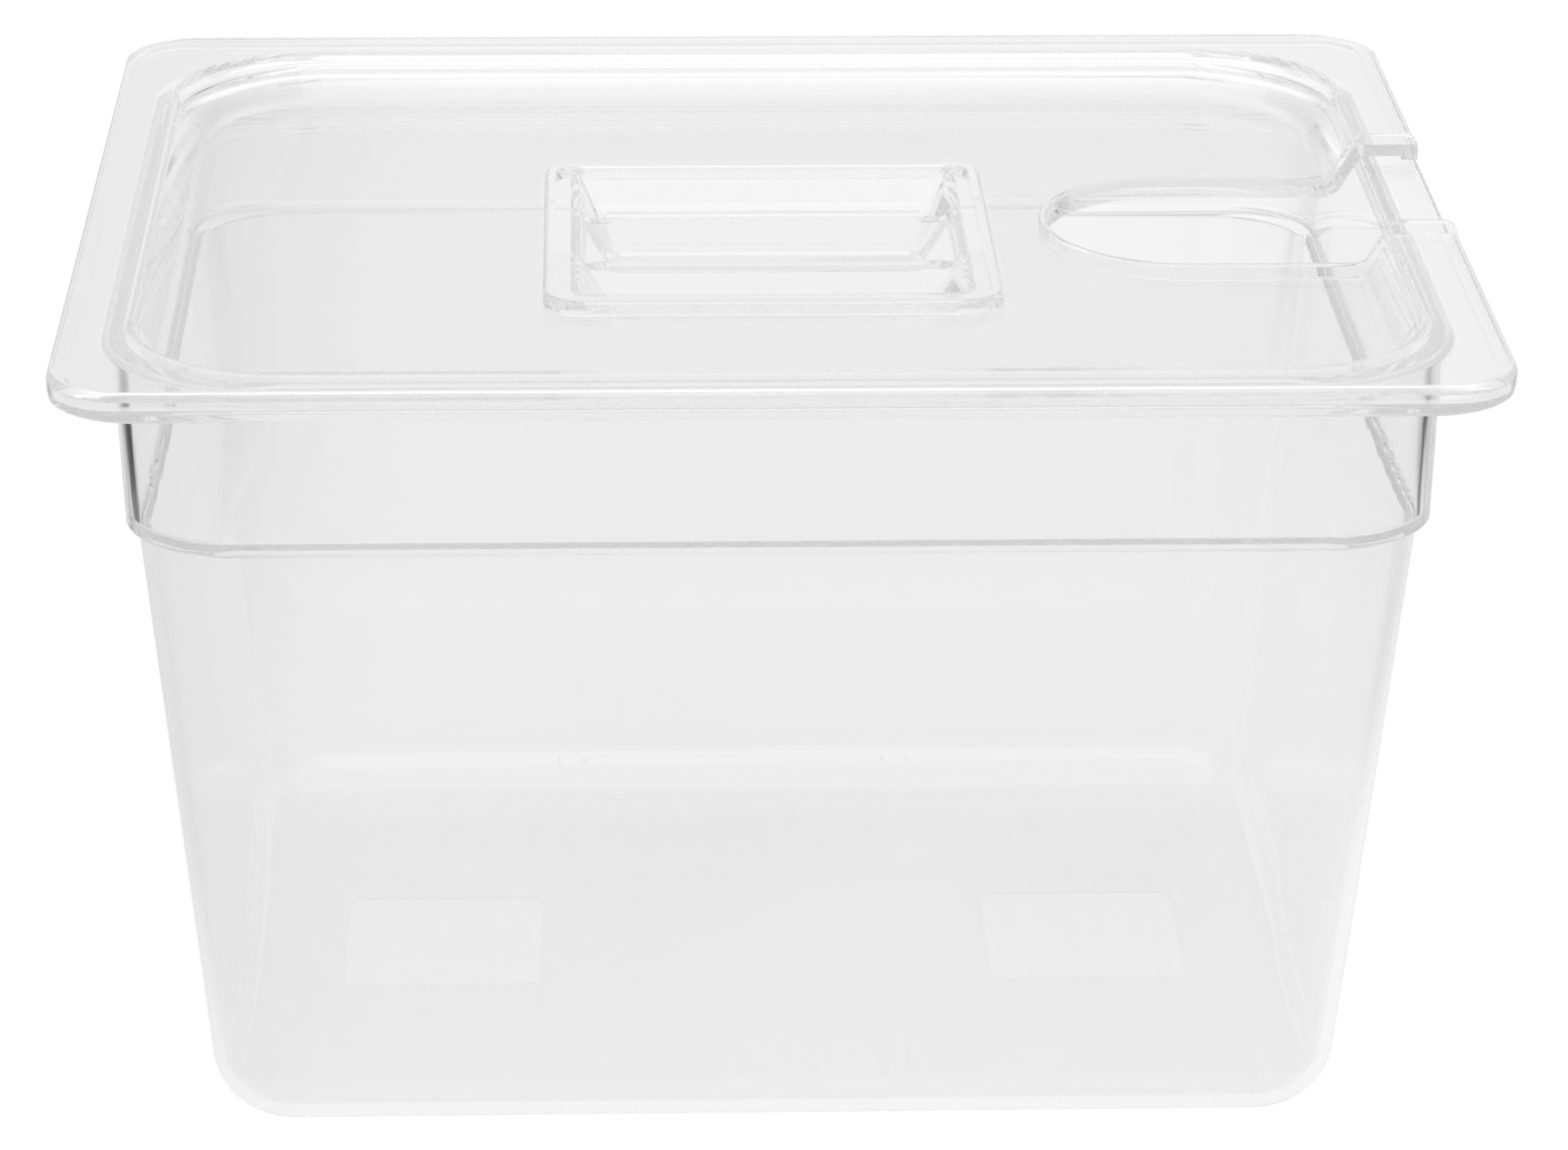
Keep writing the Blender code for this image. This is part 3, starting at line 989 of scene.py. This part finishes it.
class CONTAINER_OT_lid(bpy.types.Operator):
    """Make the lid: flange, step, sunken panel, moulded handle and ribbed notch in one moulding"""

    bl_idname = "container.lid"
    bl_label = "Notched lid"

    def execute(self, context):
        pan, lid = look("pan_sizes"), look("lid_sizes")
        material = clear_plastic("lid_polycarbonate", lid_painted_light)
        lift = pan.height + SEAT_GAP
        under, edge, crest, top = lid_lines(pan, lid)
        section = under + edge + [crest] + top[-2::-1]
        body = moulding("lid", pan.length, pan.width, section, material, lift)
        add_handle(body, lid, lift, material)
        combine(body, "DIFFERENCE", notch_cutter(pan, lid, lift, material))
        combine(body, "UNION", rib(pan, lid, lift, material))
        finish(body, "clear_lid", "lid", "lid")
        return {"FINISHED"}


# The camera that was fitted to the photograph, in metres and degrees
CAMERA_PLACE = (-0.04226, -1.2383, 0.61883)
CAMERA_YAW = math.radians(2.164)
CAMERA_PITCH = math.radians(22.666)
CAMERA_ROLL = math.radians(-0.439)
CAMERA_FOCAL = 5461.24
PHOTO_WIDTH = 1579
SENSOR = 36.0

# Floor: a round sheet of paper below the object, its shade, and how much of its light is glow
FLOOR_REACH = 6.0
FLOOR_SIDES = 96
FLOOR_GAP = 0.0003
FLOOR_SHADE = 0.8
FLOOR_ROUGHNESS = 0.9
FLOOR_GLOW = 0.97

# Floor: its strength straight from the camera
PAPER_WHITE = 1.02

# Floor: its strength through and off the plastic. It is dark from PAPER_END_X to ROOM_END out from
# PAPER_MIDDLE on both sides, past PAPER_END_Y at the back, as where the paper ends in a room. It is
# dimmer past PAPER_DIM_X, past PAPER_SIDES and in front of PAPER_FRONT.
PAPER_MIDDLE = 0.05
PAPER_END_X = (0.42, 0.50)
PAPER_END_Y = (0.14, 0.20)
ROOM_END = (0.60, 0.70)
ROOM_DARK = 0.98
PAPER_DIM_X = (0.14, 0.30)
PAPER_DIM = 0.2
PAPER_SIDES = (0.9, 1.3)
SIDES_DARK = 0.4
PAPER_FRONT = (0.11, 0.20)
PAPER_FRONT_DIM = 0.1

# Surround: its strength through and off the plastic low down, its rise overhead, and where it rises
SURROUND_LOW = 0.84
SURROUND_RISE = 0.26
SURROUND_CHANGE = (0.45, 0.75)

# Key: a broad soft lamp above the object, to its left and in front of it
KEY_SIZE = (2.4, 0.9)
KEY_PLACE = (-0.5, -0.6, 1.5)
KEY_TARGET = (0.0, 0.0, 0.1)

# How often light may pass through the plastic or be reflected in it
BOUNCES = 128


def add_camera():
    """Camera at the photograph's place, turned by its yaw, its pitch and its roll."""
    forward = Vector((
        math.sin(CAMERA_YAW) * math.cos(CAMERA_PITCH),
        math.cos(CAMERA_YAW) * math.cos(CAMERA_PITCH),
        -math.sin(CAMERA_PITCH),
    ))
    level = Vector((math.cos(CAMERA_YAW), -math.sin(CAMERA_YAW), 0.0))
    down = forward.cross(level)
    right = level * math.cos(CAMERA_ROLL) + down * math.sin(CAMERA_ROLL)
    below = down * math.cos(CAMERA_ROLL) - level * math.sin(CAMERA_ROLL)
    data = bpy.data.cameras.new("camera")
    data.sensor_fit = "HORIZONTAL"
    data.sensor_width = SENSOR
    data.lens = CAMERA_FOCAL / PHOTO_WIDTH * SENSOR
    data.clip_end = 2 * FLOOR_REACH
    camera = link("camera", data)
    turn = Matrix((right, -below, -forward)).transposed().to_4x4()
    camera.matrix_world = Matrix.Translation(CAMERA_PLACE) @ turn
    bpy.context.scene.camera = camera


def seen(tree):
    """1 for a ray straight from the camera, and 1 for that or one through or off the plastic."""
    path = add_node(tree, "ShaderNodeLightPath")
    camera, glossy, through = (
        Sum(tree, path.outputs[name])
        for name in ("Is Camera Ray", "Is Glossy Ray", "Is Transmission Ray")
    )
    total = camera + glossy + through
    return camera, total.maths("MINIMUM", total, 1.0)


def paper(tree, straight):
    """Strength of the floor's glow, straight from the camera and through or off the plastic."""
    place = add_node(tree, "ShaderNodeSeparateXYZ", values={0: object_point(tree)})
    x, y = (Sum(tree, place.outputs[i]) for i in range(2))
    reach = x.maths("ABSOLUTE", x - PAPER_MIDDLE)
    room = stepped(reach, *PAPER_END_X) * (1 - stepped(reach, *ROOM_END))
    room = room * stepped(y, *PAPER_END_Y)
    dim = 1 - PAPER_DIM * stepped(reach, *PAPER_DIM_X)
    front = 1 - PAPER_FRONT_DIM * stepped(-1 * y, *PAPER_FRONT)
    sides = stepped(reach.maths("MAXIMUM", reach, -1 * y), *PAPER_SIDES)
    through = (1 - room * ROOM_DARK) * (1 - sides * SIDES_DARK) * dim * front
    return straight * PAPER_WHITE + (1 - straight) * through


def floor_paper(backdrop):
    """White paper that glows as it is seen, and elsewhere takes light and shadow as paper does."""
    material = bpy.data.materials.new("floor_paper")
    material.use_nodes = True
    tree = material.node_tree
    shade = tree.nodes["Principled BSDF"]
    shade.inputs["Base Color"].default_value = (*(backdrop * FLOOR_SHADE), 1.0)
    shade.inputs["Roughness"].default_value = FLOOR_ROUGHNESS
    straight, shown = seen(tree)
    strength = paper(tree, straight)
    glow = add_node(
        tree, "ShaderNodeEmission", values={"Color": (*backdrop, 1.0), "Strength": strength}
    )
    mix = add_node(
        tree, "ShaderNodeMixShader",
        values={0: shown * FLOOR_GLOW, 1: shade.outputs[0], 2: glow.outputs[0]},
    )
    tree.links.new(mix.outputs[0], tree.nodes["Material Output"].inputs["Surface"])
    return material


def add_floor(backdrop):
    mesh = bpy.data.meshes.new("floor")
    bm = bmesh.new()
    bmesh.ops.create_circle(bm, cap_ends=True, segments=FLOOR_SIDES, radius=FLOOR_REACH)
    bm.to_mesh(mesh)
    bm.free()
    floor = link("floor", mesh)
    floor.location.z = -FLOOR_GAP
    mesh.materials.append(floor_paper(backdrop))


def add_surround(backdrop, surround):
    """Even light all round, which is white from the camera and rises overhead in the plastic."""
    world = bpy.data.worlds.new("studio")
    world.use_nodes = True
    bpy.context.scene.world = world
    tree = world.node_tree
    background = tree.nodes["Background"]
    background.inputs["Color"].default_value = (*backdrop, 1.0)
    straight, shown = seen(tree)
    way = add_node(tree, "ShaderNodeTexCoord").outputs["Generated"]
    up = Sum(tree, add_node(tree, "ShaderNodeSeparateXYZ", values={0: way}).outputs[2])
    glow = SURROUND_LOW + SURROUND_RISE * stepped(up, *SURROUND_CHANGE)
    strength = shown * (glow - surround) + surround
    strength = strength * (1 - straight) + straight
    tree.links.new(strength.socket, background.inputs["Strength"])


def add_key(power):
    lamp = bpy.data.lights.new("key", "AREA")
    lamp.shape = "RECTANGLE"
    lamp.size, lamp.size_y = KEY_SIZE
    lamp.energy = power
    key = link("key", lamp)
    key.location = KEY_PLACE
    way = Vector(KEY_TARGET) - key.location
    key.rotation_euler = way.to_track_quat("-Z", "Y").to_euler()


class CONTAINER_OT_studio(bpy.types.Operator):
    """Make the pale floor, the surround, the soft lamp and the camera"""

    bl_idname = "container.studio"
    bl_label = "Studio"

    def execute(self, context):
        studio = look("studio_look")
        scene = context.scene
        scene.view_settings.view_transform = "Standard"
        scene.cycles.max_bounces = BOUNCES
        scene.cycles.transmission_bounces = BOUNCES
        scene.cycles.glossy_bounces = BOUNCES
        backdrop = Vector(studio.backdrop)
        add_floor(backdrop)
        add_surround(backdrop, studio.surround)
        add_key(studio.key)
        add_camera()
        return {"FINISHED"}


class CONTAINER_PT_panel(bpy.types.Panel):
    """Sizes, finish and studio of the container"""

    bl_idname = "CONTAINER_PT_panel"
    bl_label = "Container"
    bl_space_type = "VIEW_3D"
    bl_region_type = "UI"
    bl_category = "Container"

    def draw(self, context):
        for group, operator in (
            ("pan_sizes", CONTAINER_OT_pan), ("lid_sizes", CONTAINER_OT_lid),
            ("plastic_look", None), ("studio_look", CONTAINER_OT_studio),
        ):
            box = self.layout.box()
            values = look(group)
            for name in values.__annotations__:
                box.prop(values, name)
            if operator:
                box.operator(operator.bl_idname)


GROUPS = {
    "pan_sizes": PanSizes,
    "lid_sizes": LidSizes,
    "plastic_look": PlasticLook,
    "studio_look": StudioLook,
}
CLASSES = (
    *GROUPS.values(),
    CONTAINER_OT_pan,
    CONTAINER_OT_lid,
    CONTAINER_OT_studio,
    CONTAINER_PT_panel,
)


def register():
    for cls in CLASSES:
        bpy.utils.register_class(cls)
    for name, cls in GROUPS.items():
        setattr(bpy.types.Scene, name, PointerProperty(type=cls))


def unregister():
    for name in GROUPS:
        delattr(bpy.types.Scene, name)
    for cls in reversed(CLASSES):
        bpy.utils.unregister_class(cls)


def main():
    register()
    bpy.ops.container.pan()
    bpy.ops.container.lid()
    bpy.ops.container.studio()


if __name__ == "__main__":
    main()
